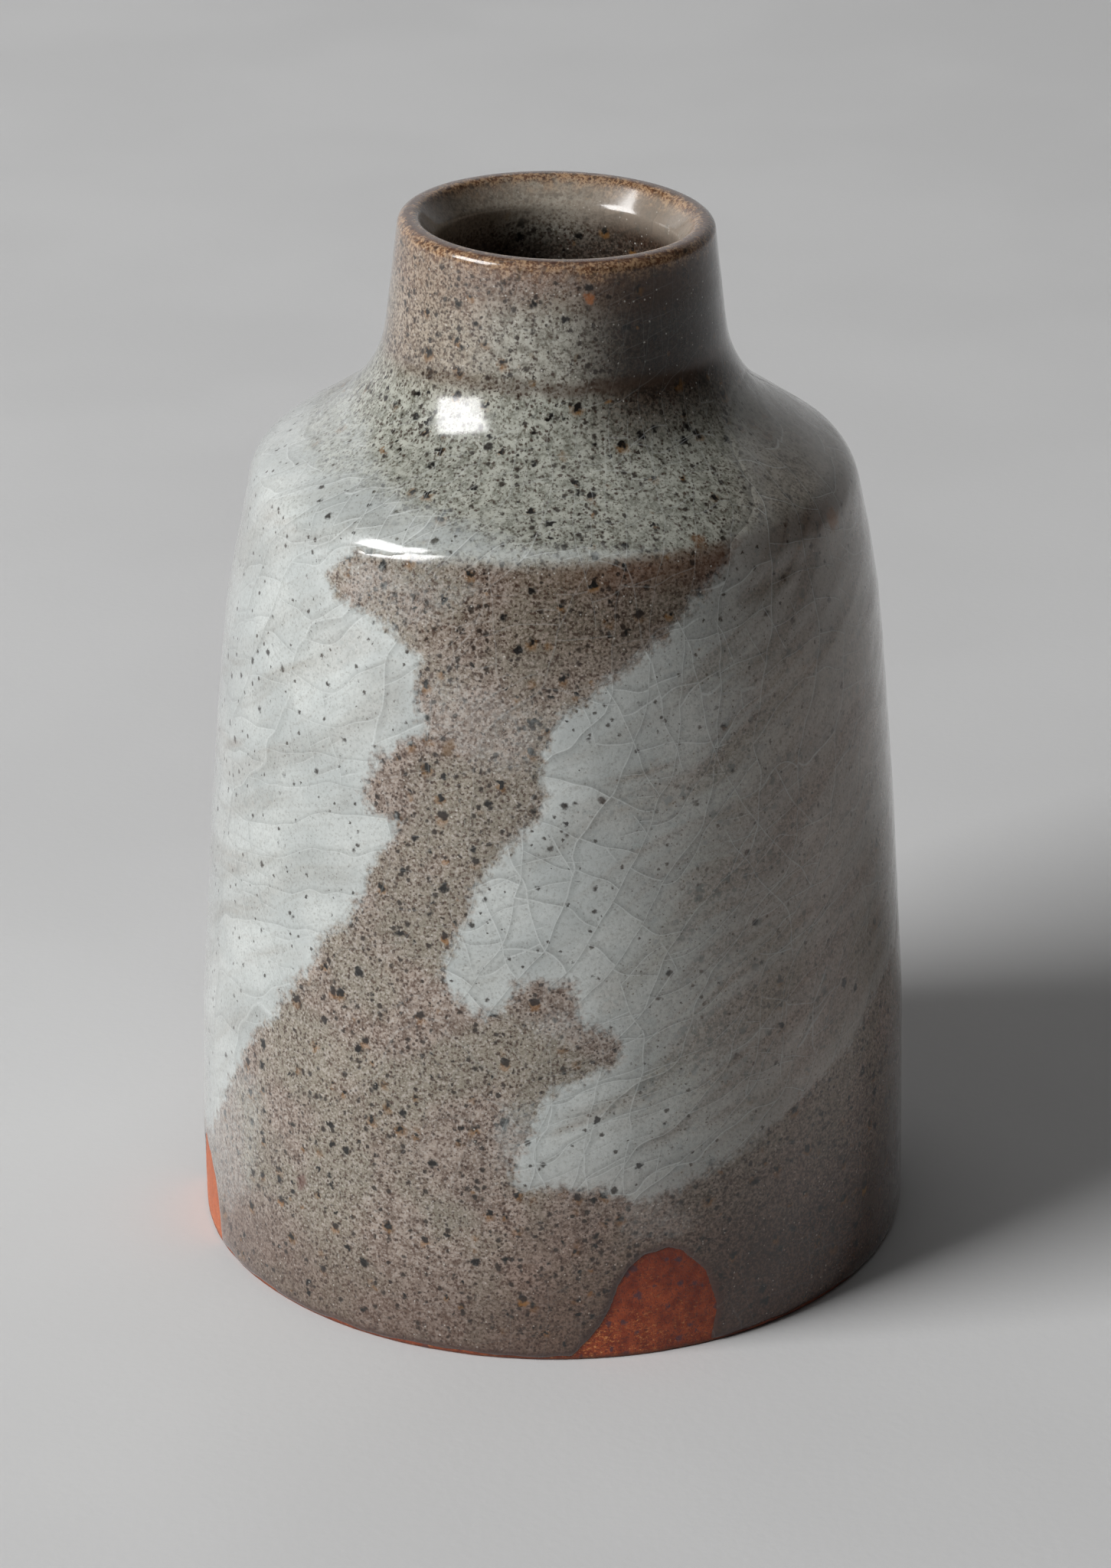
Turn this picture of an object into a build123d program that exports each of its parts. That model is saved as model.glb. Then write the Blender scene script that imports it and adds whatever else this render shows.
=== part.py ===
from build123d import *

import os
from math import cos, hypot, radians, sin

# A hand-thrown stoneware bud vase. The foot rests on z = 0 and the axis is +Z.
# Millimetres. A place on the wall is (azimuth in degrees, height): azimuth 0 is the front, which
# faces -Y, and 90 is +X.

# Driving dimensions
BASE_RADIUS = 36.0
HEIGHT = 104.7
THROAT_RADIUS = 11.5
WALL = 4.6            # clay and both glazes, where the belly is straight
FLOOR = 6.5           # table to the inside of the floor
GLAZE = 0.5           # thickness of a glaze coat
SLIP = 0.2            # thickness of the white slip under the outer glaze
GLAZE_LINE = 1.0      # the outer glaze stops this far above the table
FOOT_BEVEL = 0.6
FOOT_RING_WIDTH = 6.0
FOOT_RECESS = 1.5     # how far the underside is turned away inside the ring
RECESS_SLOPE = 1.0
LIP_WIDTH = 3.6
LIP_CREST = 1.8       # width of the lip's top before it falls into the mouth
LIP_SEAM = 1.25       # where on the lip the two glazes meet, in from its outer corner
PAST_WALL = 5.0       # how far cutting shapes reach beyond the wall
HAIR = 0.01           # small enough to tell the foot's edge from the next one

# The glazed surface as (radius, height, rounding), from the foot up the outside to the lip
LIP_OUTSIDE = THROAT_RADIUS + LIP_WIDTH
OUTSIDE = [
    (BASE_RADIUS, 23.6, 443),
    (31.8, 69.8, 105),
    (29.15, 80.5, 6),
    (17.0, 88.65, 12),
    (LIP_OUTSIDE, HEIGHT, 1.0),
]
SEAM_RADIUS = LIP_OUTSIDE - LIP_SEAM
# and from there down the throat to the floor
INSIDE = [
    (LIP_OUTSIDE - LIP_CREST, HEIGHT, 0.9),
    (THROAT_RADIUS, 102.1, 1.3),
    (THROAT_RADIUS + 0.5, 90.0, 5),
    (24.9, 79.5, 7),
    (BASE_RADIUS - WALL, 30.0, 60),
    (BASE_RADIUS - WALL, FLOOR, 8),
]

# Where the potter's fingertips held the foot, so that no glaze took: azimuth and radius of the round
# top, its height, and the azimuths where the two sides reach the foot
FINGERTIPS = {
    "front": (17.8, 5.0, 11.6, 2.5, 26.0),
    "left": (-78.5, 6.0, 9.4, -92.0, -66.8),
    "back": (150.0, 5.3, 10.5, 136.0, 160.0),
}

# The edges of the two white slip sweeps, which were brushed on upwards to the right
LEFT_SWEEP_EDGE = [
    (-60, 84.4), (-42, 84.0), (-28, 83.1), (-16, 82.0), (-26, 80.0), (-36, 79.4), (-41, 78.0),
    (-44.5, 76.0), (-36, 74.4), (-28, 72.9), (-23, 70.3), (-22.5, 66.5), (-21.5, 64.4),
    (-25.5, 62.2), (-30, 60.2), (-32, 57), (-30, 55.3), (-25.5, 54), (-29.5, 50), (-32.5, 46),
    (-37, 42), (-40.5, 39), (-46, 35), (-50.5, 30), (-57.5, 25.5), (-62, 21), (-67, 17),
    (-72, 12), (-80, 9.5), (-95, 10.5), (-112, 12), (-127, 13.8), (-121, 16.4), (-140, 19.4),
    (-134, 23), (-149, 25), (-142, 30), (-158, 32.6), (-149, 38.5), (-163, 41), (-156, 47),
    (-167, 50.5), (-161, 56), (-168, 60), (-159, 65), (-165, 69), (-154, 72), (-147, 76),
    (-136, 79), (-122, 83), (-100, 85),
]
LEFT_SWEEP_FACING = -91
RIGHT_SWEEP_EDGE = [
    (34.5, 80.7), (28, 77.3), (19.5, 73.2), (12, 70.6), (4.5, 67.2), (0, 66), (-2, 62),
    (-1.5, 58), (-6, 54.5), (-12, 50), (-13, 47), (-16.5, 43), (-17.5, 40), (-14, 37),
    (-8.5, 37), (-5.5, 40), (2, 40), (4.5, 35.2), (9, 34.8), (10.5, 32.5), (5, 30.4),
    (-2, 28), (-4, 25), (-6, 20), (0, 18.7), (10, 17.8), (16, 17), (25, 18.8), (35, 21.3),
    (50, 25), (62, 28.5), (77, 31), (92, 36), (107, 39.6), (104, 42.8), (119, 47.6), (113, 49.6),
    (127, 55.4), (120, 57.4), (131, 62.8), (124, 65), (133, 70), (125, 72), (127, 76), (117, 79),
    (106, 86), (90, 89), (70, 89), (60, 88), (51, 85.5), (47, 83), (42, 81.5),
]
RIGHT_SWEEP_FACING = 57


def step_in(start, corner, end, depth):
    """The corner's radius and height after both its lines have moved depth into the wall."""
    before = (corner[0] - start[0], corner[1] - start[1])
    after = (end[0] - corner[0], end[1] - corner[1])
    before_length = hypot(*before)
    after_length = hypot(*after)
    ax, ay = -before[1] / before_length, before[0] / before_length
    bx, by = -after[1] / after_length, after[0] / after_length
    scale = depth / (1 + ax * bx + ay * by)
    return corner[0] + (ax + bx) * scale, corner[1] + (ay + by) * scale


def surface_line(corners, start, end, depth):
    """The surface's edges from start to end, moved depth into the wall, with every corner rounded."""
    places = [start] + [corner[:2] for corner in corners] + [end]
    points = []
    radii = []
    for before, corner, after in zip(places, corners, places[2:]):
        first = (corner[0] - before[0], corner[1] - before[1])
        second = (after[0] - corner[0], after[1] - corner[1])
        convex = first[0] * second[1] - first[1] * second[0] > 0
        points.append(step_in(before, corner, after, depth))
        radii.append(corner[2] - depth if convex else corner[2] + depth)
    first_point = end_point(places[1], start, depth, -1)
    last_point = end_point(places[-2], end, depth, 1)
    return FilletPolyline(first_point, *points, last_point, radius=radii)


def end_point(neighbour, point, depth, way):
    """An end of the surface line, moved depth into the wall. way is -1 for the start, 1 for the end."""
    along = ((point[0] - neighbour[0]) * way, (point[1] - neighbour[1]) * way)
    length = hypot(*along)
    return point[0] - along[1] / length * depth, point[1] + along[0] / length * depth


def turned(edges):
    """The solid that a closed outline of (radius, height) edges makes, turned about the axis."""
    return revolve(Plane.XZ * make_face(edges), Axis.Z)


def coat(corners, start, end, top_depth, bottom_depth):
    """A coat on the wall between two depths, as a turned solid."""
    top = surface_line(corners, start, end, top_depth)
    bottom = surface_line(corners, start, end, bottom_depth)
    ends = Curve() + [Line(top @ 0, bottom @ 0), Line(top @ 1, bottom @ 1)]
    return turned(ends + top + bottom)


def wall_radius(height):
    """The glazed surface's radius at a height, along the straight lines between the corners."""
    places = [(BASE_RADIUS, 0.0)] + [corner[:2] for corner in OUTSIDE]
    for (low_radius, low), (high_radius, high) in zip(places, places[1:]):
        if height <= high:
            return low_radius + (high_radius - low_radius) * (height - low) / (high - low)
    return LIP_OUTSIDE


def wall_prism(edge, facing):
    """A prism from the axis outwards, whose sides cross the wall along an edge of (azimuth, height)."""
    turn = radians(facing)
    outwards = (sin(turn), -cos(turn), 0)
    rightwards = (cos(turn), sin(turn), 0)
    plane = Plane(origin=(0, 0, 0), x_dir=rightwards, z_dir=outwards)
    points = [(wall_radius(z) * sin(radians(azimuth - facing)), z) for azimuth, z in edge]
    face = make_face(Polyline(*points, close=True))
    return extrude(plane * face, BASE_RADIUS + PAST_WALL)


def fingertip_prism(top_azimuth, radius, height, left_azimuth, right_azimuth):
    """The print of a fingertip: a round top, and a straight side down to each end of its foot."""
    turn = radians(top_azimuth)
    plane = Plane(origin=(0, 0, 0), x_dir=(cos(turn), sin(turn), 0), z_dir=(sin(turn), -cos(turn), 0))
    left, right = (BASE_RADIUS * sin(radians(end - top_azimuth)) for end in (left_azimuth, right_azimuth))
    top = Pos(0, height - radius) * Circle(radius)
    foot = Line((left, -GLAZE_LINE), (right, -GLAZE_LINE))
    return extrude(plane * make_hull([top.edge(), foot.edge()]), BASE_RADIUS + PAST_WALL)


def only_solid(shape):
    """The one solid of a shape."""
    solids = shape.solids()
    assert len(solids) == 1, f"expected one solid, got {len(solids)}"
    return solids[0]


def make_clay_body():
    """The thrown body: wall, shoulder, neck, lip, floor and a turned foot ring."""
    skin = surface_line(OUTSIDE + INSIDE, (BASE_RADIUS, 0), (0, FLOOR), GLAZE)
    foot_radius = (skin @ 0).X
    ring_inside = foot_radius - FOOT_RING_WIDTH
    underside = Polyline(
        (0, (skin @ 1).Y),
        (0, FOOT_RECESS),
        (ring_inside - RECESS_SLOPE, FOOT_RECESS),
        (ring_inside, 0),
        (foot_radius, 0),
    )
    body = turned(Curve() + [skin, underside])
    foot_edge = body.edges().filter_by(GeomType.CIRCLE).filter_by(lambda e: e.radius > foot_radius - HAIR)
    return chamfer(foot_edge.sort_by(Axis.Z)[0], FOOT_BEVEL)


def make_parts():
    seam = (SEAM_RADIUS, HEIGHT)
    foot = (BASE_RADIUS, 0)
    outer_coat = coat(OUTSIDE, foot, seam, 0, GLAZE)
    slip_coat = coat(OUTSIDE, foot, seam, GLAZE - SLIP, GLAZE)
    left_slip = slip_coat & wall_prism(LEFT_SWEEP_EDGE, LEFT_SWEEP_FACING)
    right_slip = slip_coat & wall_prism(RIGHT_SWEEP_EDGE, RIGHT_SWEEP_FACING)
    bare_foot = Cylinder(BASE_RADIUS + PAST_WALL, GLAZE_LINE, align=(Align.CENTER, Align.CENTER, Align.MIN))
    outer_glaze = outer_coat - bare_foot
    for print_shape in FINGERTIPS.values():
        outer_glaze -= fingertip_prism(*print_shape)
    outer_glaze = outer_glaze - left_slip - right_slip
    return {
        "clay_body": make_clay_body(),
        "outer_glaze": outer_glaze,
        "inner_glaze": coat(INSIDE, seam, (0, FLOOR), 0, GLAZE),
        "left_slip_sweep": left_slip,
        "right_slip_sweep": right_slip,
    }


os.makedirs("parts", exist_ok=True)
for name, shape in make_parts().items():
    export_step(only_solid(shape), f"parts/{name}.step")
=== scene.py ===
from math import cos, pi, radians, sin, tan

import bmesh
import bpy
import numpy as np
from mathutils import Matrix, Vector, noise


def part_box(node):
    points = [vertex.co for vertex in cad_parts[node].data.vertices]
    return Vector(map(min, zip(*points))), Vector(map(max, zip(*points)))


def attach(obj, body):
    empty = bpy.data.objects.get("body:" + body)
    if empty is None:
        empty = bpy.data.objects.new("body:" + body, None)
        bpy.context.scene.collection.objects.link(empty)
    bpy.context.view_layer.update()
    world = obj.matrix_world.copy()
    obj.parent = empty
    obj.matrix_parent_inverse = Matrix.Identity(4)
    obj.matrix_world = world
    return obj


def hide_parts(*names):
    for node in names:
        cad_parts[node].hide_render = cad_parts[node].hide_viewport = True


# A thrown stoneware bud vase: clay body, outer and liner glaze and two brushed slip sweeps.
# Shape work is in millimetres in the row frame and becomes metres in add_piece. A place on the wall is
# (azimuth in degrees, height): azimuth 0 faces the camera along -Y, and 90 is +X.

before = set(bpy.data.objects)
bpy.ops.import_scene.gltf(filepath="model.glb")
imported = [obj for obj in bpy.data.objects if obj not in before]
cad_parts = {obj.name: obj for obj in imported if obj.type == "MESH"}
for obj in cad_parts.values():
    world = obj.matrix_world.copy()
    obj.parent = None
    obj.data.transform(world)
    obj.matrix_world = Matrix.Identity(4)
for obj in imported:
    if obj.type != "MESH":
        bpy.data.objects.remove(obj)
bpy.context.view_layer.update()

MM = 0.001

# ---------------------------------------------------------------- sizes, some from the frame
BASE_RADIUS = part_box("outer_glaze")[1].x / MM
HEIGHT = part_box("outer_glaze")[1].z / MM
GLAZE = BASE_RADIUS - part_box("clay_body")[1].x / MM
GLAZE_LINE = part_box("outer_glaze")[0].z / MM
CAVITY_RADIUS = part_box("inner_glaze")[1].x / MM - GLAZE
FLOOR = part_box("inner_glaze")[0].z / MM + GLAZE
THROAT_RADIUS = 11.5
FOOT_BEVEL = 0.2
FOOT_RING_WIDTH = 6.0
FOOT_RECESS = 1.5
LIP_WIDTH = 3.6
LIP_RADIUS = THROAT_RADIUS + LIP_WIDTH
LIP_CREST = 1.8
CLAY_SWELL = 0.28     # how far bare clay stands proud of the glaze's underside
SLIP_STEP = 0.09      # how far the slip stands proud of the glaze beside it
COAT_OVERLAP = 1.5    # how far the outer glaze runs over the start of the liner in the throat
COAT_END_HEIGHT = 88.8
NECK_RING_HEIGHT = 92.7
WALL_SCALE = 34.0     # a middling radius, for turning azimuths into mm on the wall
BRUSH_RISE = radians(25)
CRACK_WIDTH = 0.08
CRACK_RADIUS = 30.0   # where the leaning cracks have just that width
FAR = 9.0             # a distance that counts as away from every edge

# The glazed surface as (radius, height, rounding), from the foot over the lip to the floor's middle
SURFACE = [
    (BASE_RADIUS, 0, 0),
    (BASE_RADIUS, 23.6, 443),
    (31.8, 69.8, 105),
    (29.15, 80.5, 6),
    (17.0, 88.65, 12),
    (LIP_RADIUS, HEIGHT, 1.0),
    (LIP_RADIUS - LIP_CREST, HEIGHT, 0.9),
    (THROAT_RADIUS, 102.1, 1.3),
    (THROAT_RADIUS + 0.5, 90.0, 5),
    (24.9, 79.5, 7),
    (CAVITY_RADIUS, 30.0, 60),
    (CAVITY_RADIUS, FLOOR, 8),
    (0, FLOOR, 0),
]
# The clay under the foot, from the middle of the underside out to the wall
CLAY_RADIUS = BASE_RADIUS - GLAZE
UNDERSIDE = [
    (0, FOOT_RECESS, 0),
    (CLAY_RADIUS - FOOT_RING_WIDTH - 1.0, FOOT_RECESS, 0.8),
    (CLAY_RADIUS - FOOT_RING_WIDTH, 0, 0.5),
    (CLAY_RADIUS - FOOT_BEVEL, 0, 0.1),
    (CLAY_RADIUS, FOOT_BEVEL, 0.1),
    (CLAY_RADIUS, 2.0, 0),
]

# ---------------------------------------------------------------- where slip, wash and bare clay lie
LEFT_SWEEP = [
    (-75, 84.2), (-62, 83.9), (-52, 84.4), (-42, 84.0), (-34, 83.5), (-27, 82.9), (-18, 82.4),
    (-10, 81.8), (-20, 80.6), (-30, 79.8), (-38, 79.0), (-41.5, 77.6), (-44.5, 76.2), (-42, 75.2),
    (-37, 74.5), (-33, 73.8), (-29.5, 73.3), (-26.5, 72.2), (-24, 71), (-22.5, 69.5), (-22.6, 67.2),
    (-22, 65.5), (-20.8, 64.4), (-23, 63.1), (-26, 62), (-29.3, 60.9), (-31, 59.3), (-31.6, 57.4),
    (-31.8, 56.2), (-29.3, 55.6), (-26, 54.7), (-25.4, 53.8), (-27.6, 52.3), (-29.6, 50), (-30.6, 48),
    (-32.5, 46), (-34.6, 44), (-37, 42.4), (-39.8, 41), (-40.6, 39), (-42.6, 37), (-46, 35),
    (-48.4, 32.6), (-50.6, 30.2), (-53.6, 28), (-57.2, 25.6), (-59.6, 23), (-62, 21), (-64.4, 18.8),
    (-67, 16.8), (-69.6, 14.4), (-72.4, 12), (-78, 10.4), (-88, 9.8), (-98, 10.6), (-108, 11.4),
    (-118, 12.8), (-127, 13.8), (-122, 15.4), (-121, 16.8), (-129, 17.6), (-140, 19.4), (-135, 21.4),
    (-134, 23.4), (-140, 24.2), (-149, 25), (-144, 27.6), (-142, 30), (-148, 31), (-158, 32.6),
    (-151, 35.4), (-149, 38.5), (-155, 39.4), (-163, 41), (-157, 43.6), (-156, 47), (-161, 48.6),
    (-167, 50.5), (-162, 53), (-161, 56), (-164, 57.6), (-168, 60), (-161, 62.4), (-159, 65), (-165, 69),
    (-157, 70.4), (-154, 72), (-155, 74), (-147, 76), (-143, 78.6), (-136, 79), (-128, 82), (-116, 83.4),
    (-100, 84.8),
]
RIGHT_SWEEP = [
    (34.8, 80.6), (32, 78.9), (28, 77.2), (24, 75.3), (19.8, 73.3), (16, 71.9), (12, 70.6), (8, 69),
    (4.6, 67.3), (1.2, 66.2), (-0.4, 64.6), (-1.6, 63), (-2.2, 61), (-1.3, 58.6), (-2.6, 56.4),
    (-5.6, 54.8), (-8, 52.6), (-11.2, 50.9), (-12.6, 49), (-13.2, 47), (-15, 45.2), (-16.2, 43.2),
    (-17.6, 41.4), (-17.4, 39.8), (-15.4, 38), (-13.6, 36.8), (-11, 36.5), (-8.4, 37), (-6.2, 38.4),
    (-5.4, 40), (-2, 40.5), (2, 40), (4, 38.4), (4.4, 35.8), (6.6, 35), (9.4, 34.6), (10.6, 32.8),
    (8.4, 31.3), (4.6, 30.4), (0.8, 29.6), (-1.8, 28), (-4, 26.6), (-3.8, 24.8), (-5.6, 22.4), (-6.2, 20),
    (-5, 18.9), (0, 18.7), (5, 18.5), (10, 17.7), (13, 16.9), (16, 16.6), (20, 17.6), (25, 18.8),
    (30, 19.8), (35, 21.3), (40, 22.7), (45, 23.8), (50, 25), (55, 26), (60, 27.8), (66, 29.6), (76, 31),
    (84, 34.2), (92, 36), (100, 37.2), (107, 39.6), (104.4, 41), (104, 42.8), (112, 44.8), (119, 47.6),
    (114, 48), (113, 49.8), (121, 52.6), (127, 55.4), (122, 56), (120, 57.6), (126, 60), (131, 62.8),
    (126, 63.4), (124, 65.2), (129, 67.4), (133, 70), (127.6, 70.6), (125, 72.4), (127, 76), (121, 76.8),
    (117, 79.2), (113, 82.6), (106, 86), (90, 89), (76, 89.3), (66, 88.7), (60, 87.8), (55, 86.8),
    (51, 85.6), (48, 83.8), (44, 82), (39, 81.3),
]
# Thin washes of slip over the bare clay, each with how white it is
WASHES = [
    (0.30, [(-21, 69.5), (-12, 69), (-3, 67.2), (1.5, 66.4), (-1, 63.4), (-2.5, 60.5), (-8, 60.5),
            (-14, 61.4), (-20, 63.6), (-23, 66)]),
    (0.80, [(-60, 83.4), (-34, 83.2), (-18, 82.2), (-6, 81.6), (6, 81.3), (16, 80.9), (22, 80.6),
            (10, 80.3), (-4, 80.2), (-16, 79.9), (-30, 79.4), (-45, 78.8), (-60, 78.8)]),
    (0.30, [(-44, 78), (-34, 79.2), (-22, 79.4), (-12, 78), (-18, 74.6), (-26, 72.8), (-38, 74.8)]),
    (0.35, [(-78, 15), (-68, 20), (-59, 25), (-52, 22), (-56, 10), (-64, 5), (-78, 6)]),
    (0.35, [(-5, 36.5), (4, 38), (4, 35.4), (9, 34.2), (4, 33.6), (-3, 34.4)]),
    (0.45, [(-9, 27.8), (-2, 28), (1, 25), (-3, 21), (-8, 21), (-10, 24.6)]),
    (0.35, [(12, 17.6), (20, 17), (24, 14), (20, 12), (12, 12.4), (9, 14.6)]),
    (0.60, [(-100, 87.8), (-80, 87.6), (-62, 86.8), (-50, 85.4), (-38, 84.2), (-30, 82.6), (-50, 82.4),
            (-75, 82.6), (-100, 83)]),
]
# Where the brush left the slip thin: azimuth, height, rise in degrees, length mm, width mm, strength
THIN_STREAKS = [
    (14, 60.2, 12, 9, 0.9, 0.9), (45, 76.2, 9, 14, 1.5, 0.9), (38, 64, 26, 26, 1.8, 0.5),
    (48, 58, 22, 28, 2.0, 0.3), (38, 41, 20, 24, 1.6, 0.7), (42, 36.0, 20, 30, 3.4, 1.0),
    (38, 31.8, 16, 26, 1.3, 0.7), (4.5, 26, 27, 12, 1.0, 0.8), (25, 24.6, 14, 16, 1.3, 0.55),
    (62, 43, 20, 18, 3.2, 1.0), (58, 35, 16, 16, 2.0, 0.9), (60, 82, 22, 14, 3.0, 0.5),
    (28, 70, 30, 16, 1.6, 0.45), (70, 66, 24, 16, 3.0, 0.4), (-70, 54.5, 25, 9, 0.8, 0.8),
    (-52, 66, 25, 14, 0.6, 0.5), (-62, 50, 28, 22, 1.6, 0.5), (-60, 44.5, 28, 20, 1.2, 0.5),
    (-66, 38, 30, 20, 2.2, 0.45), (-74, 62, 25, 16, 1.2, 0.4), (-55, 36, 32, 12, 1.0, 0.3),
    (-78, 30, 30, 14, 2.0, 0.4), (-58, 79, 4, 16, 1.2, 0.35), (-100, 66, 26, 24, 2.0, 0.6),
    (-110, 50, 28, 26, 2.4, 0.6), (-118, 34, 24, 22, 2.0, 0.6), (-138, 60, 28, 18, 2.6, 0.7),
    (52, 55, 24, 70, 16, 0.3), (96, 74, 24, 22, 2.2, 0.6), (100, 58, 26, 24, 2.4, 0.6),
    (112, 66, 28, 14, 1.4, 0.7),
]
# The outlines of the three places where fingertips held the foot
FINGERTIPS = [
    [(2.6, 0), (5.5, 2.2), (8.2, 4.6), (9.5, 6.4), (10.2, 7.9), (12.0, 9.7), (14.4, 10.9), (18.0, 11.4),
     (20.6, 10.8), (22.6, 9.6), (24.4, 8.1), (25.8, 6.3), (26.4, 4.5), (26.3, 2.2), (25.6, 0)],
    [(-92, 0), (-91.2, 1.5), (-89.6, 4.2), (-87.2, 6.6), (-83.6, 8.3), (-79.5, 8.8), (-75.6, 8.2),
     (-72.4, 6.6), (-70.6, 4.4), (-69.3, 1.5), (-68.6, 0)],
    [(136, 0), (138, 2.0), (141.4, 5.6), (143.2, 8.0), (146, 9.8), (150, 10.5), (154, 9.8), (157, 7.8),
     (158.4, 5.2), (159.4, 2.0), (160, 0)],
]


# ---------------------------------------------------------------- lines and grids
def rounded_line(corners, arc_step=4.0):
    """A line of (radius, height) through rounded corners, with points every few degrees of each arc."""
    points = [np.array(corners[0][:2], float)]
    for before, corner, after in zip(corners, corners[1:], corners[2:]):
        place = np.array(corner[:2], float)
        back = np.array(before[:2], float) - place
        ahead = np.array(after[:2], float) - place
        back /= np.linalg.norm(back)
        ahead /= np.linalg.norm(ahead)
        turn = pi - np.arccos(np.clip(back @ ahead, -1, 1))
        cut = corner[2] * tan(turn / 2)
        centre = place + (back + ahead) / np.linalg.norm(back + ahead) * corner[2] / cos(turn / 2)
        start = place + back * cut - centre
        end = place + ahead * cut - centre
        steps = max(2, int(np.degrees(turn) / arc_step) + 1)
        for share in np.linspace(0, 1, steps + 1):
            a = sin((1 - share) * turn) / sin(turn)
            b = sin(share * turn) / sin(turn)
            points.append(centre + start * a + end * b)
    points.append(np.array(corners[-1][:2], float))
    return np.array(points)


def line_length(points):
    return np.concatenate([[0], np.cumsum(np.hypot(*np.diff(points, axis=0).T))])


class Line:
    """A line that gives radius, height and outward direction at any length along it."""

    def __init__(self, corners):
        self.points = rounded_line(corners)
        self.lengths = line_length(self.points)
        self.total = self.lengths[-1]

    def at(self, lengths):
        r = np.interp(lengths, self.lengths, self.points[:, 0])
        z = np.interp(lengths, self.lengths, self.points[:, 1])
        return r, z

    def outwards(self, lengths, reach=0.12):
        r0, z0 = self.at(np.clip(lengths - reach, 0, self.total))
        r1, z1 = self.at(np.clip(lengths + reach, 0, self.total))
        size = np.hypot(r1 - r0, z1 - z0)
        return (z1 - z0) / size, -(r1 - r0) / size

    def length_at(self, height, first, last):
        """The length at which the line passes a height, between two lengths."""
        lengths = np.linspace(first, last, 4000)
        return lengths[np.argmin(np.abs(self.at(lengths)[1] - height))]


surface = Line(SURFACE)
LIP_LENGTH = surface.lengths[np.argmax(surface.points[:, 1])]
COAT_END = surface.length_at(COAT_END_HEIGHT, LIP_LENGTH, LIP_LENGTH + 20)


def outside(height):
    """The length at which the outer wall passes a height."""
    return surface.length_at(height, 0, LIP_LENGTH)


def spaced(stops):
    """Lengths from stop to stop, each stretch with its own step: [(length, step), ..., last length]."""
    lengths = []
    for (start, step), after in zip(stops, stops[1:]):
        end = after[0] if isinstance(after, tuple) else after
        count = max(1, int(round((end - start) / step)))
        lengths.extend(np.linspace(start, end, count, endpoint=False))
    lengths.append(stops[-1])
    return np.array(lengths)


def azimuths(coarse, fine, low=-180.0, high=180.0, closed=True):
    """Azimuths in degrees, with steps of fine mm at the fingertip marks and of coarse mm elsewhere."""
    found = [low]
    while found[-1] < high:
        near = any(mark[0][0] - 3 < found[-1] < mark[-1][0] + 4 for mark in FINGERTIPS)
        found.append(found[-1] + np.degrees((fine if near else coarse) / BASE_RADIUS))
    found = np.array(found)
    found = low + (found - low) * (high - low) / (found[-1] - low)
    return found[:-1] if closed else found


# ---------------------------------------------------------------- fields on the wall
def rough(points, scale, seed, octaves=3):
    """Seeded fractal noise, about -1 to 1, at points in mm, with features scale mm wide."""
    shift = Vector((seed * 17.3, seed * 5.7, seed * 11.1))
    found = [noise.fractal(Vector(p) / scale + shift, 1.0, 2.0, octaves) for p in points]
    return np.array(found)


def smooth(value, low, high):
    t = np.clip((value - low) / (high - low), 0, 1)
    return t * t * (3 - 2 * t)


def signed_distance(azimuth, length, radius, outline):
    """Distance in mm from wall points to an outline of (azimuth, height), positive inside it."""
    outline = np.array(outline, float)
    ahead = np.roll(outline, -1, axis=0)
    outline_length = np.array([outside(z) for z in outline[:, 1]])
    ahead_length = np.roll(outline_length, -1)
    nearest = np.full(azimuth.shape, 1e9)
    inside = np.zeros(azimuth.shape, bool)
    scale = np.radians(radius)
    for (a0, _), (a1, _), l0, l1 in zip(outline, ahead, outline_length, ahead_length):
        x0, y0 = (a0 - azimuth) * scale, l0 - length
        dx, dy = (a1 - a0) * scale, l1 - l0
        t = np.clip(-(x0 * dx + y0 * dy) / (dx * dx + dy * dy + 1e-9), 0, 1)
        nearest = np.minimum(nearest, np.hypot(x0 + t * dx, y0 + t * dy))
        crosses = (l0 > length) != (l1 > length)
        with np.errstate(divide="ignore", invalid="ignore"):
            at = a0 + (length - l0) * (a1 - a0) / (l1 - l0)
        inside ^= crosses & (azimuth < at)
    return np.where(inside, nearest, -nearest)


def thin_streaks(azimuth, length):
    """How thin the brush left the slip at wall points, 0 to 1."""
    thin = np.zeros(len(azimuth))
    for centre, height, rise, reach, width, strength in THIN_STREAKS:
        x = (azimuth - centre) * radians(WALL_SCALE)
        y = length - outside(height)
        along = x * cos(radians(rise)) + y * sin(radians(rise))
        across = -x * sin(radians(rise)) + y * cos(radians(rise)) + 0.012 * along * along
        taper = np.clip(1 - (2 * along / reach) ** 2, 0, 1)
        thin = np.maximum(thin, strength * taper * np.exp(-(across / (0.6 * width)) ** 2))
    return thin


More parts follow.
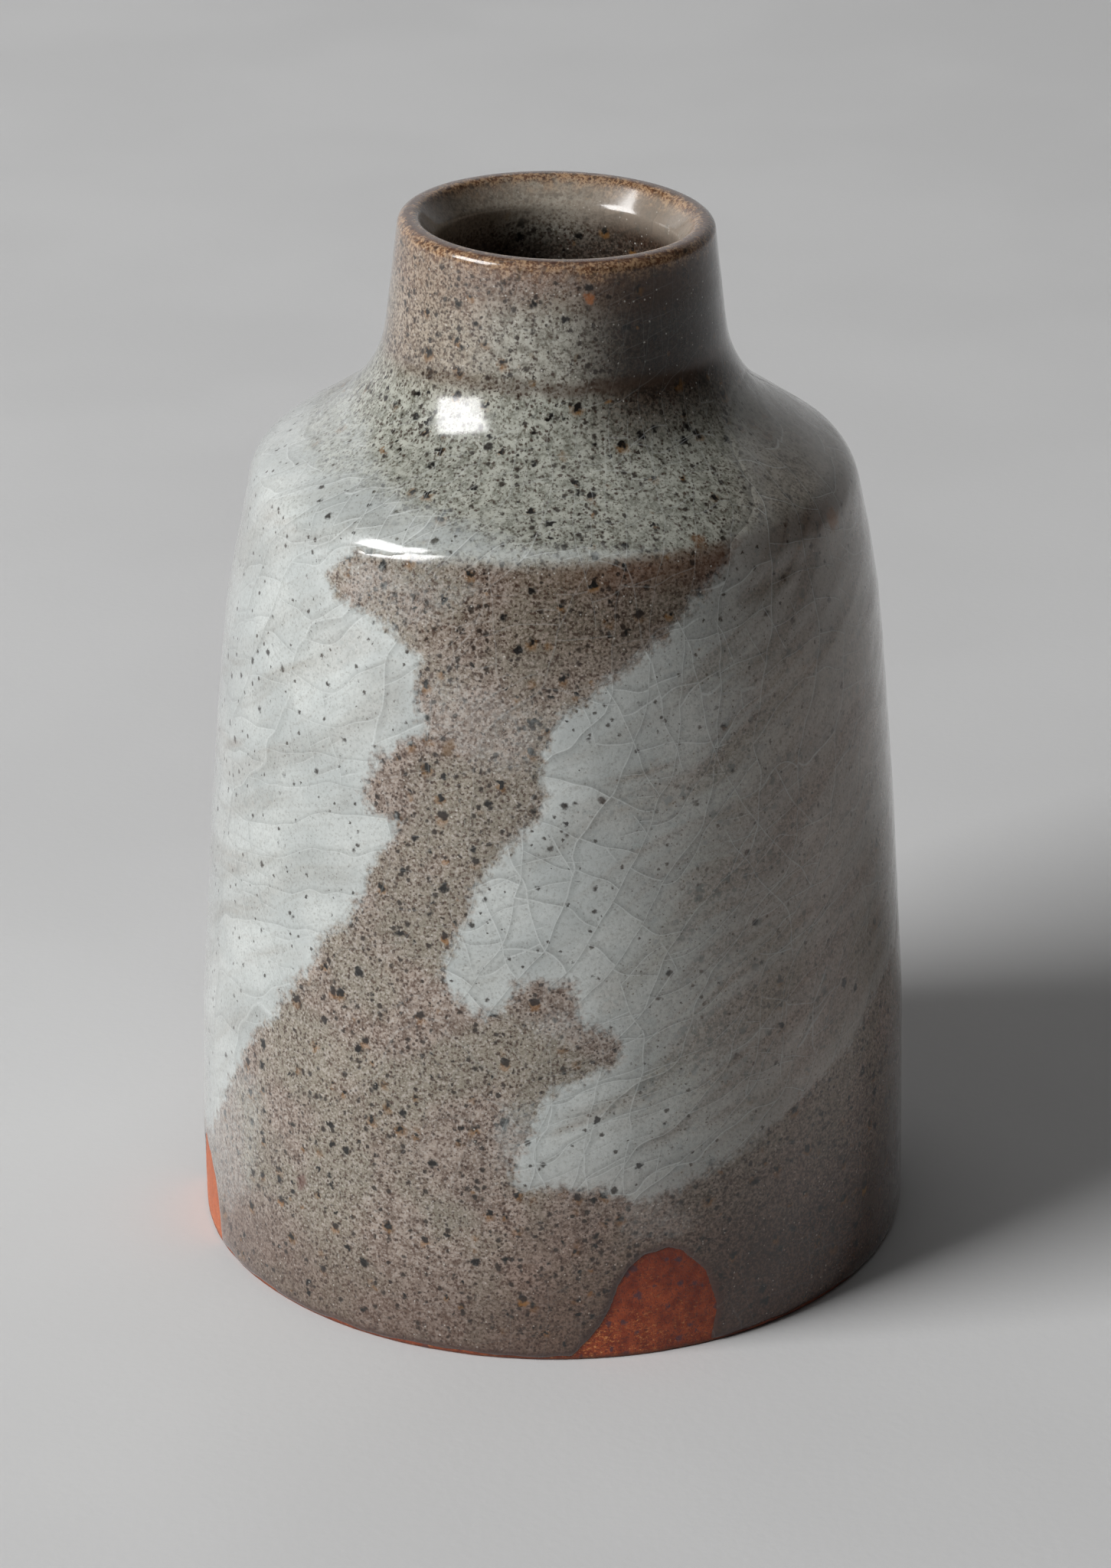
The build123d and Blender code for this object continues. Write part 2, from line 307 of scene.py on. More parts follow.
def wall_fields(azimuth, length):
    """Points on the wall, the fields that every glazed piece carries, and the distances to each sweep."""
    r, z = surface.at(length)
    x, y = r * np.sin(np.radians(azimuth)), -r * np.cos(np.radians(azimuth))
    points = np.stack([x, y, z], 1)
    ragged = rough(points, 2.6, 3, 4)
    drift = rough(points, 7.0, 4, 2)
    here = azimuth + 0.7 * ragged + 0.6 * drift
    up = length + 0.4 * rough(points, 3.1, 5, 4)
    left = signed_distance(here, up, r, LEFT_SWEEP)
    right = signed_distance(here, up, r, RIGHT_SWEEP)
    wash = np.zeros(len(z))
    for strength, outline in WASHES:
        inside = signed_distance(here, up, r, outline)
        wash = np.maximum(wash, strength * smooth(inside, -1.2, 1.4))
    bare = z - 0.38 * GLAZE_LINE - 0.25 * rough(points, 5.0, 6, 3)
    waver = 0.2 * rough(points, 2.2, 7, 3)
    for outline in FINGERTIPS:
        bare = np.minimum(bare, waver - signed_distance(azimuth, length, r, outline))
    pool = smooth(z, 79.0, 81.0) * (1 - 0.5 * smooth(z, 91.5, 93.0)) * (1 - smooth(z, 96.5, 102.5))
    inner = length > LIP_LENGTH
    inner_pool = 0.8 * (1 - smooth(length, LIP_LENGTH + 4.5, LIP_LENGTH + 8))
    fields = {
        "slip": np.where(inner, -FAR, np.maximum(left, right)),
        "wash": np.where(inner, 0, wash),
        "thin": thin_streaks(azimuth, length),
        "bare": np.where(inner, FAR, bare),
        "pool": np.where(inner, inner_pool, pool),
        "reach": length,
    }
    return points, fields, {"left": left, "right": right}


def throwing_rings(points, azimuth):
    """The faint spiral that fingers leave on the outside of a thrown wall, in mm."""
    turn = 2 * pi * (points[:, 2] / 5.2 + azimuth / 360)
    strength = 0.5 + 0.5 * rough(points, 14, 9, 2)
    return 0.018 * np.sin(turn) * strength + 0.05 * rough(points, 22, 10, 2)


def handmade(points):
    """Sets the turned shape a little off true: leaning neck, tilted rim, a fuller left shoulder."""
    x, y, z = points.T.copy()
    azimuth = np.arctan2(x, -y)
    radius = np.hypot(x, y)
    left_side = np.clip(np.cos(azimuth + radians(80)), 0, 1) ** 2
    shoulder = np.exp(-((z - 81.5) / 3.0) ** 2)
    below = np.exp(-((z - 73.5) / 4.0) ** 2)
    crisp = np.exp(-((z - 80.6) / 1.3) ** 2) * np.clip(np.cos(azimuth + radians(25)), 0, 1)
    wall = smooth(radius, 24.0, 27.0)
    radius = radius + wall * (left_side * (0.18 * shoulder - 0.22 * below) + 0.16 * crisp)
    radius = radius * (1 + 0.0022 * np.cos(2 * azimuth + 0.7) * smooth(z, 6, 30))
    lean = np.interp(z, [0, 20, 60, 80, 90, HEIGHT], [0.0, 0.0, 0.05, 0.1, 0.3, 0.4])
    x = radius * np.sin(azimuth) + lean
    y = -radius * np.cos(azimuth)
    z = z - tan(radians(1.26)) * x * smooth(z, 90, HEIGHT - 2) - 0.25 * smooth(z, 90, HEIGHT - 2)
    return np.stack([x, y, z], 1)


# ---------------------------------------------------------------- meshes
def shell_faces(keep, columns, closed):
    """Quads of a kept grid, its underside, and the walls between them, as vertex numbers."""
    rows = len(keep)
    i, j = np.nonzero(keep)
    k = (j + 1) % columns if closed else j + 1
    top = np.stack([i * columns + j, i * columns + k, (i + 1) * columns + k, (i + 1) * columns + j], 1)
    count = (rows + 1) * columns
    edges = np.concatenate([top[:, [a, (a + 1) % 4]] for a in range(4)])
    keys = edges[:, 0].astype(np.int64) * count + edges[:, 1]
    twins = edges[:, 1].astype(np.int64) * count + edges[:, 0]
    rim = edges[~np.isin(keys, twins)]
    walls = np.stack([rim[:, 1], rim[:, 0], rim[:, 0] + count, rim[:, 1] + count], 1)
    return top, top[:, ::-1] + count, walls, rim


def add_piece(name, points, faces, fields, sharp_edges=None, weld=False):
    """A mesh object from points in mm, with its fields as vertex attributes."""
    used, packed = np.unique(faces, return_inverse=True)
    packed = packed.reshape(faces.shape)
    mesh = bpy.data.meshes.new(name)
    mesh.vertices.add(len(used))
    mesh.vertices.foreach_set("co", (points[used] * MM).astype(np.float32).ravel())
    mesh.loops.add(packed.size)
    mesh.loops.foreach_set("vertex_index", packed.ravel().astype(np.int32))
    mesh.polygons.add(len(packed))
    mesh.polygons.foreach_set("loop_start", np.arange(0, packed.size, 4, dtype=np.int32))
    mesh.update(calc_edges=True)
    for key, values in fields.items():
        kind = "FLOAT_VECTOR" if values.ndim == 2 else "FLOAT"
        attribute = mesh.attributes.new(key, kind, "POINT")
        channel = "vector" if values.ndim == 2 else "value"
        attribute.data.foreach_set(channel, values[used].astype(np.float32).ravel())
    if sharp_edges is not None and len(sharp_edges):
        wanted = {tuple(sorted(e)) for e in np.searchsorted(used, sharp_edges).tolist()}
        ends = np.empty(len(mesh.edges) * 2, np.int32)
        mesh.edges.foreach_get("vertices", ends)
        flags = [tuple(sorted(e)) in wanted for e in ends.reshape(-1, 2).tolist()]
        mesh.attributes.new("sharp_edge", "BOOLEAN", "EDGE").data.foreach_set("value", flags)
    mesh.shade_smooth()
    if weld:
        work = bmesh.new()
        work.from_mesh(mesh)
        bmesh.ops.remove_doubles(work, verts=work.verts, dist=2e-6)
        work.to_mesh(mesh)
        work.free()
    mesh.validate()
    piece = bpy.data.objects.new(name, mesh)
    bpy.context.scene.collection.objects.link(piece)
    return piece


def grid(azimuth, length):
    """Every azimuth at every length, row by row."""
    a, s = np.meshgrid(azimuth, length)
    return a.ravel(), s.ravel()


def lifted(line, azimuth, length, height):
    """Points height mm outwards from a turned line."""
    r, z = line.at(length)
    out_r, out_z = line.outwards(length)
    radius = r + out_r * height
    turn = np.radians(azimuth)
    return np.stack([radius * np.sin(turn), -radius * np.cos(turn), z + out_z * height], 1)


def shell(name, line, azimuth, length, top, bottom, keep, fields, closed=True, weld=False):
    """A closed shell on a turned line between two heights, where keep is true at a quad's corners."""
    a, s = grid(azimuth, length)
    points = np.concatenate([lifted(line, a, s, top), lifted(line, a, s, bottom)])
    mask = keep.reshape(len(length), len(azimuth))
    cell = mask[:-1] | mask[1:]
    cell = cell | np.roll(cell, -1, axis=1) if closed else cell[:, :-1] | cell[:, 1:]
    upper, lower, walls, rim = shell_faces(cell, len(azimuth), closed)
    faces = np.concatenate([upper, lower, walls])
    both = {key: np.concatenate([value, value]) for key, value in fields.items()}
    return add_piece(name, handmade(points), faces, both, sharp_edges=rim, weld=weld)


def make_outer_glaze():
    """The outer glaze, from the bare foot line over the lip and a little way down the throat."""
    azimuth = azimuths(0.85, 0.3)
    length = spaced([(0.15, 0.25), (13.5, 0.8), (outside(77), 0.4), (outside(93), 0.7),
                     (outside(100.5), 0.22), (LIP_LENGTH + 6, 0.6), COAT_END])
    a, s = grid(azimuth, length)
    points, field, _ = wall_fields(a, s)
    bare = field["bare"]
    rolled = np.sqrt(np.clip(1 - (1 - np.clip(bare, 0, 1)) ** 2, 0, 1))
    bead = 0.03 * np.exp(-((bare - 1.3) / 0.6) ** 2)
    top = (GLAZE - CLAY_SWELL) * (rolled - 1) + bead - 0.4 * smooth(-bare, -0.05, 0.4)
    top = top + (throwing_rings(points, a) - 0.02) * smooth(bare, 0.2, 1.5)
    top = top - 1.6 * SLIP_STEP * smooth(field["slip"], -0.2, 0.8)
    top = top - 0.6 * smooth(s, COAT_END - COAT_OVERLAP, COAT_END)
    return shell("outer_glaze_coat", surface, azimuth, length, top, np.minimum(top - 0.08, -GLAZE + 0.02),
                 bare > -0.35, field)


def make_slip(name, side, low, high):
    """One slip sweep with clear glaze on it: brushed ridges, and edges that dip under the glaze."""
    azimuth = azimuths(0.42, 0.42, low, high, closed=False)
    length = spaced([(outside(8), 0.42), outside(90.5)])
    a, s = grid(azimuth, length)
    points, field, sweeps = wall_fields(a, s)
    edge = sweeps[side]
    along = np.radians(a) * WALL_SCALE * cos(BRUSH_RISE) + s * sin(BRUSH_RISE)
    across = -np.radians(a) * WALL_SCALE * sin(BRUSH_RISE) + s * cos(BRUSH_RISE)
    ridges = rough(np.stack([along / 9, across, np.full(len(a), 4.0)], 1), 1.5, 12, 3)
    top = throwing_rings(points, a) - 0.02 + 0.022 * ridges - 0.05 * field["thin"]
    top = top + SLIP_STEP * (smooth(edge, -0.5, 0.6) * 1.2 - 1)
    return shell(name, surface, azimuth, length, top, np.full(len(a), -0.32), edge > -0.7, field,
                 closed=False)


def make_inner_glaze():
    """The liner glaze, which starts under the end of the outer glaze and covers the whole inside."""
    azimuth = azimuths(1.6, 1.6)
    start = COAT_END - COAT_OVERLAP
    length = spaced([(start, 0.5), (start + 14, 1.2), (start + 45, 2.4), surface.total])
    a, s = grid(azimuth, length)
    points, field, _ = wall_fields(a, s)
    top = 0.06 * rough(points, 12, 20, 2) - 0.25 * (1 - smooth(s, start, start + 1.2))
    return shell("inner_glaze_liner", surface, azimuth, length, top, np.full(len(a), -GLAZE + 0.02),
                 np.ones(len(a), bool), field, weld=True)


def make_clay():
    """The clay body as one closed turned skin: underside, foot, wall, lip and inside."""
    skin = []
    azimuth = azimuths(0.85, 0.3)
    under = Line(UNDERSIDE)
    edge = under.total - 3.2
    under_length = spaced([(0, 2.5), (edge - 9, 0.6), (edge, 0.15), under.total])
    wall_length = spaced([(2.15, 0.3), (13.5, 2.0), (LIP_LENGTH - 6, 0.5), (LIP_LENGTH + 6, 2.0),
                          surface.total])
    a, s = grid(azimuth, under_length)
    skin.append(lifted(under, a, s, np.zeros(len(a))))
    a, s = grid(azimuth, wall_length)
    skin.append(lifted(surface, a, s, np.full(len(a), -GLAZE)))
    points = np.concatenate(skin)
    grit = 0.035 * rough(points, 0.9, 30, 3) + 0.05 * rough(points, 4.0, 31, 2)
    low = 1 - smooth(points[:, 2], 14, 18)
    radius = np.hypot(points[:, 0], points[:, 1])
    swell = CLAY_SWELL - 0.02 + grit
    scale = 1 + np.where(radius > 33, swell / np.maximum(radius, 1), 0) * low
    points[:, :2] *= scale[:, None]
    rows = len(under_length) + len(wall_length)
    keep = np.ones((rows - 1, len(azimuth)), bool)
    faces = shell_faces(keep, len(azimuth), True)[0]
    return add_piece("clay_pot", handmade(points), faces, {}, weld=True)


# ---------------------------------------------------------------- materials
def srgb(r, g, b):
    """A colour given as 0 to 255 screen values, as the linear colour that nodes take."""
    parts = [c / 255 for c in (r, g, b)]
    return tuple(c / 12.92 if c <= 0.04045 else ((c + 0.055) / 1.055) ** 2.4 for c in parts) + (1,)


class Nodes:
    """Short calls for the few kinds of node that the materials use. Lengths are in mm."""

    def __init__(self, name):
        self.material = bpy.data.materials.new(name)
        self.material.use_nodes = True
        self.tree = self.material.node_tree
        self.tree.nodes.clear()
        place = self.add("ShaderNodeTexCoord").outputs["Object"]
        self.place = self.vector("MULTIPLY", place, (1 / MM, 1 / MM, 1 / MM))
        self.x, self.y, self.z = self.add("ShaderNodeSeparateXYZ", Vector=self.place).outputs

    def add(self, kind, settings=None, **inputs):
        node = self.tree.nodes.new(kind)
        for key, value in (settings or {}).items():
            setattr(node, key, value)
        for key, value in inputs.items():
            self.feed(node.inputs[key.replace("_", " ")], value)
        return node

    def feed(self, socket, value):
        if isinstance(value, bpy.types.NodeSocket):
            self.tree.links.new(value, socket)
        else:
            socket.default_value = value

    def math(self, operation, a, b=0.0):
        node = self.add("ShaderNodeMath", {"operation": operation})
        self.feed(node.inputs[0], a)
        self.feed(node.inputs[1], b)
        return node.outputs[0]

    def plus(self, *values):
        total = values[0]
        for value in values[1:]:
            total = self.math("ADD", total, value)
        return total

    def times(self, *values):
        total = values[0]
        for value in values[1:]:
            total = self.math("MULTIPLY", total, value)
        return total

    def vector(self, operation, a, b):
        node = self.add("ShaderNodeVectorMath", {"operation": operation})
        self.feed(node.inputs[0], a)
        self.feed(node.inputs[1], b)
        return node.outputs["Value" if operation in ("DISTANCE", "LENGTH") else "Vector"]

    def join(self, x, y, z):
        return self.add("ShaderNodeCombineXYZ", X=x, Y=y, Z=z).outputs[0]

    def field(self, name):
        return self.add("ShaderNodeAttribute", {"attribute_name": name}).outputs["Fac"]

    def noise(self, size, detail=2.0, place=None, roughness=0.5):
        """Noise from about 0.25 to 0.75 with features size mm across."""
        place = self.place if place is None else place
        return self.add("ShaderNodeTexNoise", Scale=1.0 / size, Detail=detail, Roughness=roughness,
                        Vector=place).outputs["Fac"]

    def wander(self, size, reach, detail=2.0, place=None):
        """Noise as a push from about -reach to reach."""
        return self.step(self.noise(size, detail, place), 0.28, 0.72, -reach, reach, False)

    def chance(self, a, b=0.0):
        """A random number from 0 to 1 for each pair of whole numbers."""
        return self.add("ShaderNodeTexWhiteNoise", Vector=self.join(a, b, 0.5)).outputs["Value"]

    def step(self, value, low, high, out_low=0.0, out_high=1.0, smooth_step=True):
        kind = "SMOOTHSTEP" if smooth_step else "LINEAR"
        node = self.add("ShaderNodeMapRange", {"interpolation_type": kind, "clamp": True}, Value=value)
        ends = {"From Min": low, "From Max": high, "To Min": out_low, "To Max": out_high}
        for key, amount in ends.items():
            self.feed(node.inputs[key], amount)
        return node.outputs["Result"]

    def mix(self, share, a, b, blend="MIX"):
        node = self.add("ShaderNodeMix", {"data_type": "RGBA", "blend_type": blend})
        self.feed(node.inputs["Factor"], share)
        self.feed(node.inputs[6], a)
        self.feed(node.inputs[7], b)
        return node.outputs[2]

    def specks(self, spacing, size, share, seed=0.0, edge=0.4, warp=0.22, drop=0.0):
        """Uneven specks about size mm across, in a share of a lattice's cells: 1 in a speck, 0 outside."""
        place = self.vector("ADD", self.place, (seed, seed * 1.7, seed * 0.6 + drop))
        bend = self.add("ShaderNodeTexNoise", Scale=1.6 / size, Detail=1.0, Vector=place).outputs["Color"]
        bend = self.vector("SUBTRACT", bend, (0.5, 0.5, 0.5))
        place = self.vector("ADD", place, self.vector("MULTIPLY", bend, (size * warp * 4,) * 3))
        cells = self.add("ShaderNodeTexVoronoi", Scale=1.0 / spacing, Randomness=1.0, Vector=place)
        chance = self.add("ShaderNodeSeparateColor", Color=cells.outputs["Color"])
        half = size / 2 / spacing
        reach = self.step(chance.outputs["Green"], 0, 1, 0.4 * half, 1.2 * half)
        dot = self.step(self.math("DIVIDE", cells.outputs["Distance"], reach), 1 + edge, 1 - edge)
        return self.times(dot, self.math("LESS_THAN", chance.outputs["Red"], share))

    def dots(self, color, tint, strength, spacing, size, share, seed, **more):
        """A colour with specks of a tint on it."""
        specks = self.specks(spacing, size, share, seed, **more)
        return self.mix(self.times(specks, strength), color, tint)

    def bump(self, height, distance, normal=None):
        node = self.add("ShaderNodeBump", Height=height, Distance=distance * MM, Strength=1.0)
        if normal is not None:
            self.feed(node.inputs["Normal"], normal)
        return node.outputs["Normal"]

    def finish(self, color, roughness, normal, **more):
        shader = self.add("ShaderNodeBsdfPrincipled", Base_Color=color, Roughness=roughness,
                          Normal=normal, **more)
        output = self.add("ShaderNodeOutputMaterial")
        self.tree.links.new(shader.outputs["BSDF"], output.inputs["Surface"])
        return self.material


# Painted shade: a darker, warmer tint multiplied into the colour on the side away from the key light
PAINTED_SHADE_TINT = (0.93, 0.82, 0.78, 1)
# Iron spots, each (azimuth, height, size mm, rust halo 0 to 1)
IRON_SPOTS = [
    (-18, 56.1, 1.15, 0.5), (-21, 35.8, 0.95, 0.5), (-4.5, 6.9, 0.9, 1.0), (-37.2, 36, 0.9, 0.5),
    (-7.4, 32, 0.95, 0.6), (-30.8, 31.9, 0.9, 0.6), (-48.3, 11.2, 0.8, 0.9), (-45, 33.6, 1.0, 0.4),
    (-12.5, 52, 0.8, 0.3), (-2.8, 38.3, 1.0, 0.7), (-38.7, 32.8, 0.9, 0.0), (-57.5, 24, 0.9, 0.5),
    (-20.2, 12.2, 0.8, 0.7), (-36.2, 11, 0.8, 0.6), (-56, 12, 1.0, 0.2), (6.8, 26, 0.75, 0.0),
    (13.4, 20.8, 0.75, 0.0), (3.9, 17.9, 0.8, 0.4), (60, 9.5, 1.0, 1.0), (39, 32.1, 0.8, 0.1),
    (57.6, 31.8, 0.9, 0.0), (54.3, 33.2, 0.9, 0.0), (-19, 87.7, 0.9, 0.0), (-38.8, 5.8, 0.8, 0.2),
    (-12, 57.3, 0.7, 0.2), (2, 56, 0.5, 0.0), (15, 75.4, 0.9, 0.2), (-62, 89.1, 0.8, 0.1),
    (11, 102.4, 0.9, 0.0), (-17.6, 51.9, 0.6, 0.8), (-17.2, 44.2, 0.75, 0.9),
]
# Soft stains, each (azimuth, height, size mm, colour)
STAINS = [
    (-43.4, 14.2, 1.9, srgb(92, 50, 42)), (63.5, 78.6, 2.6, srgb(150, 96, 40)),
    (-17.5, 62.8, 1.8, srgb(120, 92, 60)), (28, 81, 1.6, srgb(120, 80, 42)),
    (11.3, 101.4, 1.3, srgb(170, 96, 34)),
]


def wall_place(azimuth, height):
    """The point on the finished outer wall at an azimuth and height, in mm."""
    place = lifted(surface, np.array([azimuth]), np.array([outside(height)]), np.zeros(1))
    return tuple(handmade(place)[0])


def crackle(n, bands, lean, row, seed):
    """Glaze cracks: long leaning arcs, cross cracks between them, as (edge, shade, plate) values.

    edge is 1 on a crack, shade is 1 beside it and fades, plate is a random number for each plate of glaze.
    """
    place = n.vector("ADD", n.place, (seed, seed, seed))
    turn = n.math("ARCTAN2", n.x, n.times(n.y, -1))
    reach = n.field("reach")
    bow = n.wander(38.0, 1.9, 1.0, place)
    kink = n.wander(6.0, 0.13, 1.0, place)
    column = n.plus(n.times(turn, bands / (2 * pi)), n.times(reach, -lean), bow, kink)
    bow = n.wander(30.0, 1.6, 1.0, n.vector("ADD", place, (40, 0, 0)))
    band = n.math("FLOOR", column)
    level = n.plus(n.times(reach, 1 / row), n.times(turn, -0.2 * WALL_SCALE / row), bow,
                   n.times(kink, 1.2), n.times(n.chance(band, seed), 7.3))
    edge, shade = 0.0, 0.0
    for part, width in ((column, 2 * pi * CRACK_RADIUS / bands), (level, row)):
        share = n.math("FRACT", part)
        near = n.math("MINIMUM", share, n.math("SUBTRACT", 1.0, share))
        edge = n.math("MAXIMUM", edge, n.step(near, CRACK_WIDTH / width, CRACK_WIDTH * 0.3 / width))
        shade = n.math("MAXIMUM", shade, n.step(share, 0.75 / width, CRACK_WIDTH / width))
    return edge, shade, n.chance(band, n.math("FLOOR", level))


def slip_cover(n):
    """How far the slip hides the clay, 0 to 1, and where it is thin enough to look darker; on the right
    side the added thinness is partly painted shade.
    """
    turn = n.times(n.math("ARCTAN2", n.x, n.times(n.y, -1)), WALL_SCALE)
    reach = n.field("reach")
    along = n.plus(n.times(turn, cos(BRUSH_RISE)), n.times(reach, sin(BRUSH_RISE)))
    across = n.plus(n.times(turn, -sin(BRUSH_RISE)), n.times(reach, cos(BRUSH_RISE)),
                    n.wander(22.0, 2.5, 1.0))
    bands = n.noise(1.0, 2.0, n.join(n.times(along, 1 / 30), n.times(across, 1 / 4.2), 0))
    right = n.step(n.x, -2, 22)
    bristles = n.noise(1.0, 3.0, n.join(n.times(along, 1 / 13), n.times(across, 1 / 0.9), 7))
    fine = n.noise(0.5, 3.0, roughness=0.6)

    slip = n.field("slip")
    soft = n.step(n.z, 78.5, 82.5, 0.8, 2.2)
    edge = n.plus(slip, n.wander(1.3, 0.6), n.step(fine, 0.3, 0.7, -0.5, 0.5, False))
    solid = n.step(n.math("DIVIDE", edge, soft), -0.9, 1.3)
    thin = n.times(n.field("thin"), n.step(bristles, 0.3, 0.6, 0.35, 1.0))
    thin = n.plus(thin, n.step(bristles, 0.5, 0.72, 0.0, 0.2))
    thin = n.plus(n.times(thin, n.step(right, 0, 1, 0.65, 1.0)),
                  n.times(n.step(bands, 0.44, 0.68), n.step(right, 0, 1, 0.25, 0.6)))
    # The thinness added over the whole right side is partly the slip's own thinness there, partly painted
    # shade that darkens and warms it away from the key light
    thin = n.plus(n.times(thin, n.step(slip, 0.6, 2.8)), n.times(right, 0.5))
    cover = n.times(solid, n.step(thin, 0.0, 1.2, 1.0, 0.34, False))
    wash = n.step(n.plus(n.field("wash"), n.step(fine, 0.3, 0.72, -0.2, 0.2, False)), 0.0, 1.2)
    return n.math("MAXIMUM", cover, wash), thin


def thin_glaze(n, mottle, grain):
    """Mauve brown clay seen through thin glaze."""
    color = n.mix(n.step(mottle, 0.36, 0.64), srgb(122, 105, 93), srgb(170, 155, 143))
    color = n.mix(n.step(n.noise(9.0, 2.0), 0.42, 0.62, 0.0, 0.7), color, srgb(142, 137, 121))
    color = n.mix(n.step(grain, 0.52, 0.72, 0.0, 0.7), color, srgb(192, 182, 174))
    return n.mix(n.step(grain, 0.46, 0.30, 0.0, 0.85), color, srgb(84, 62, 52))


def pooled_glaze(n, mottle, grain):
    """Grey-green glaze, where it gathered on the shoulder and the middle of the neck."""
    color = n.mix(n.step(mottle, 0.36, 0.64), srgb(130, 131, 120), srgb(182, 183, 172))
    color = n.mix(n.step(grain, 0.52, 0.72, 0.0, 0.6), color, srgb(186, 187, 176))
    return n.mix(n.step(grain, 0.46, 0.30, 0.0, 0.8), color, srgb(86, 78, 66))


def browns_and_painted_shade(n, color, grain):
    """The darker and browner places: under the shoulder, low down, on the neck's right, in the throat. Low
    on the right, on the neck's right and in the throat they are partly painted shade.
    """
    brown = n.mix(n.step(grain, 0.42, 0.62), srgb(46, 31, 23), srgb(106, 84, 69))
    under_shoulder = n.times(n.step(n.z, 66, 73), n.step(n.z, 80.6, 79.4), n.step(n.x, -16, 6, 0.0, 0.54))
    # Low on the right: partly the glaze's own dark brown, partly painted shade on the side away from the
    # key light
    low_right_brown_and_shade = n.times(n.step(n.z, 30, 8), n.step(n.x, -12, 24, 0.0, 0.85))
    low = n.plus(low_right_brown_and_shade, n.step(n.z, 14, 0, 0.0, 0.5))
    # On the neck's right: partly the glaze's own dark brown, partly painted shade, with a near-black layer
    # of painted shade over it higher up
    neck_right_brown_and_shade = n.times(n.step(n.x, 0, 9), n.step(n.z, 85.5, 92.5), 0.95)
    color = n.mix(n.math("MAXIMUM", under_shoulder, n.math("MAXIMUM", low, neck_right_brown_and_shade)), color, brown)
    color = n.mix(n.times(neck_right_brown_and_shade, n.step(n.z, 90, 94, 0.4, 0.8)), color, srgb(28, 20, 13))
    rusty = n.times(n.step(n.z, 76.0, 79.6), n.step(n.z, 81.0, 80.2), n.step(n.x, -6, 8, 0.0, 0.45))
    color = n.mix(rusty, color, srgb(104, 68, 44))
    color = n.mix(n.step(n.z, 16, 1, 0.0, 0.3), color, srgb(96, 66, 54))
    color = n.mix(n.times(n.step(n.z, 97.5, 101.5), 0.3), color, srgb(110, 78, 58))
    buff = n.mix(n.step(grain, 0.38, 0.62), srgb(104, 76, 58), srgb(178, 154, 130))
    color = n.mix(n.times(n.step(n.z, 89, 95), n.step(n.x, -2, -12), 0.5), color, buff)
    # Inside the throat: the liner's dark brown, darkened further as painted shade
    throat = n.mix(n.step(grain, 0.40, 0.66), srgb(48, 38, 31), srgb(92, 78, 68))
    return n.mix(n.step(n.field("reach"), LIP_LENGTH + 5.0, LIP_LENGTH + 8.5, 0.0, 0.9), color, throat)


def glazed_clay(n, grain):
    """Speckled clay under clear glaze, in its different browns and grey-greens."""
    mottle = n.noise(0.9, 4.0, roughness=0.6)
    green = n.times(n.step(n.x, -12, -4), n.step(n.z, 103, 99), n.step(n.z, 88, 92), 0.75)
    pool = n.math("MAXIMUM", n.field("pool"), green)
    color = n.mix(pool, thin_glaze(n, mottle, grain), pooled_glaze(n, mottle, grain))
    color = browns_and_painted_shade(n, color, grain)
    crowd = n.plus(n.step(n.noise(5.0, 2.0), 0.36, 0.62, 0.3, 0.9), n.step(n.z, 90, 94, 0.0, 0.3))
    color = n.dots(color, srgb(58, 40, 32), 0.85, 0.42, 0.28, crowd, 3.0)
    color = n.dots(color, srgb(38, 27, 21), 0.9, 0.70, 0.50, n.times(crowd, 0.5), 11.0)
    color = n.dots(color, srgb(138, 96, 44), 0.65, 1.4, 0.95, 0.13, 23.0, edge=0.7, drop=0.3)
    color = n.dots(color, srgb(20, 16, 14), 1.0, 1.4, 0.82, 0.34, 23.0, warp=0.3)
    # Painted highlights: tiny white glints of light on the glaze, as white specks
    return n.dots(color, srgb(226, 222, 214), 0.6, 0.5, 0.15, 0.35, 41.0)


def slip_paint(n, thin, grain):
    """White slip under clear glaze, cloudy, with dust and a few sharp iron dots."""
    paint = n.mix(n.step(n.noise(7.0, 3.0), 0.35, 0.65), srgb(190, 195, 193), srgb(207, 211, 208))
    paint = n.mix(n.step(n.noise(0.4, 3.0), 0.4, 0.65, 0.0, 0.4), paint, srgb(182, 186, 184))
    paint = n.mix(n.times(thin, 0.6), paint, srgb(138, 134, 122))
    paint = n.mix(n.step(grain, 0.46, 0.30, 0.0, 0.22), paint, srgb(110, 104, 94))
    paint = n.dots(paint, srgb(88, 79, 69), n.step(thin, 0, 0.7, 0.3, 0.9), 0.40, 0.17, 0.6, 61.0)
    paint = n.dots(paint, srgb(50, 43, 38), 0.9, 1.2, 0.36, 0.9, 51.0)
    return n.dots(paint, srgb(40, 34, 31), 0.92, 2.3, 0.6, 0.8, 57.0)


def iron_marks(n, color):
    """The big iron spots with their rust, and the soft stains, at their places on the wall."""
    ragged = n.wander(0.5, 0.2)
    for azimuth, height, size, rust in IRON_SPOTS:
        x, y, z = wall_place(azimuth, height)
        if rust:
            below = n.plus(n.vector("DISTANCE", n.place, (x, y, z - size * 0.45)), ragged)
            halo = n.step(below, size * 0.75, size * 0.3, 0.0, 0.75 * rust)
            color = n.mix(halo, color, srgb(146, 98, 40))
        far = n.plus(n.vector("DISTANCE", n.place, (x, y, z)), ragged)
        color = n.mix(n.step(far, size * 0.6, size * 0.3, 0.0, 0.92), color, srgb(34, 29, 28))
    blur = n.wander(0.8, 0.45, 3.0)
    for azimuth, height, size, tint in STAINS:
        far = n.plus(n.vector("DISTANCE", n.place, wall_place(azimuth, height)), blur)
        color = n.mix(n.step(far, size * 0.6, size * 0.15, 0.0, 0.6), color, tint)
    return color


